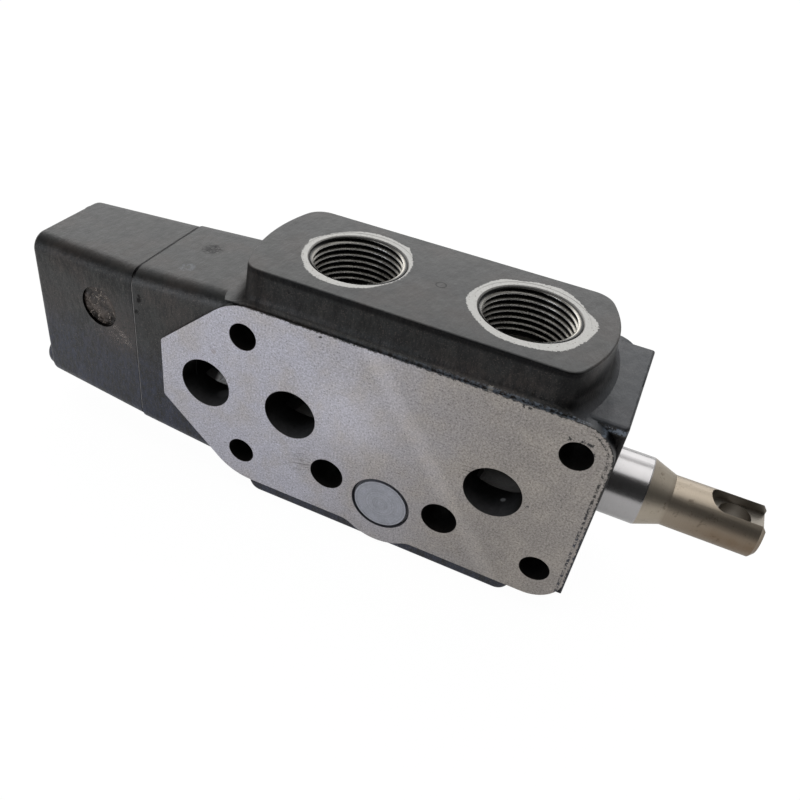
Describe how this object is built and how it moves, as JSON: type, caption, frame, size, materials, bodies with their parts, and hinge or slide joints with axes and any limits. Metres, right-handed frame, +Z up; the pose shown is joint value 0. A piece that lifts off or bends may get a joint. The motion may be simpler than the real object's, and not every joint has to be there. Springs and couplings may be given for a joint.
{
  "type": "directional valve section",
  "caption": "Cast spool valve section with two threaded work ports on a raised boss, a centring spring cap at one end and a slotted spool end for a lever at the other.",
  "frame": {"origin": "centre of the tie-rod hole pattern on the front ground face, level with the spool's axis and midway between the tie rods", "axes": "+X along the spool towards its free end, +Y from the front ground face to the rear one, +Z up towards the work ports"},
  "size_m": [0.2783, 0.0557, 0.0978],
  "materials": {
    "painted_iron": "dark grey satin paint on cast iron, with ground bare faces front and rear",
    "spool_steel": "ground and plated on the lands, brushed on the cone and shaft",
    "plain_steel": "turned steel, oiled",
    "screw_steel": "dark oiled steel, painted over with the cap where it shows",
    "plug_steel": "bare steel with turning marks and dull stains",
    "spring_steel": "oiled spring wire",
    "seal_rubber": "smooth black nitrile",
    "wiper_rubber": "matt black",
    "gasket_board": "dark fibre board"
  },
  "bodies": {
    "housing": {"valve_body": "painted_iron", "rear_spool_seal": "seal_rubber", "front_spool_seal": "seal_rubber", "rod_wiper": "wiper_rubber", "end_cap_gasket": "gasket_board", "end_cap": "painted_iron", "cap_core_plug": "plug_steel", "end_cap_bolts": "screw_steel", "load_check_plug": "plug_steel", "load_check_plug_seal": "seal_rubber", "load_check_seat": "plain_steel", "load_check_spring": "spring_steel", "centring_spring": "spring_steel", "gallery_seals_large": "seal_rubber", "gallery_seals_small": "seal_rubber"},
    "inner_seat": {"inner_spring_seat": "plain_steel"},
    "spool_assembly": {"spool": "spool_steel", "spool_tail_screw": "screw_steel", "tail_washer": "plain_steel", "spring_sleeve": "plain_steel"},
    "outer_seat": {"outer_spring_seat": "plain_steel"},
    "check_poppet": {"load_check_poppet": "plain_steel"}
  },
  "joints": [
    {"name": "spool_push_in", "type": "slide", "parent": "housing", "child": "inner_seat", "axis": [1, 0, 0], "range_m": [-0.007, 0], "stiffness_N_per_m": 4000, "springref_m": 0.01, "deforming": ["centring_spring"]},
    {"name": "spool_pull_out", "type": "slide", "parent": "inner_seat", "child": "spool_assembly", "axis": [1, 0, 0], "range_m": [0, 0.007], "stiffness_N_per_m": 4000, "springref_m": -0.01},
    {"name": "outer_seat_slide", "type": "slide", "parent": "housing", "child": "outer_seat", "axis": [1, 0, 0], "range_m": [0, 0.007], "deforming": ["centring_spring"]},
    {"name": "load_check_lift", "type": "slide", "parent": "housing", "child": "check_poppet", "axis": [0, -1, 0], "range_m": [0, 0.004], "stiffness_N_per_m": 500, "springref_m": -0.008, "deforming": ["load_check_spring"]}
  ],
  "couplings": [
    {"joint": "outer_seat_slide", "follows": "spool_pull_out", "ratio": 1}
  ]
}
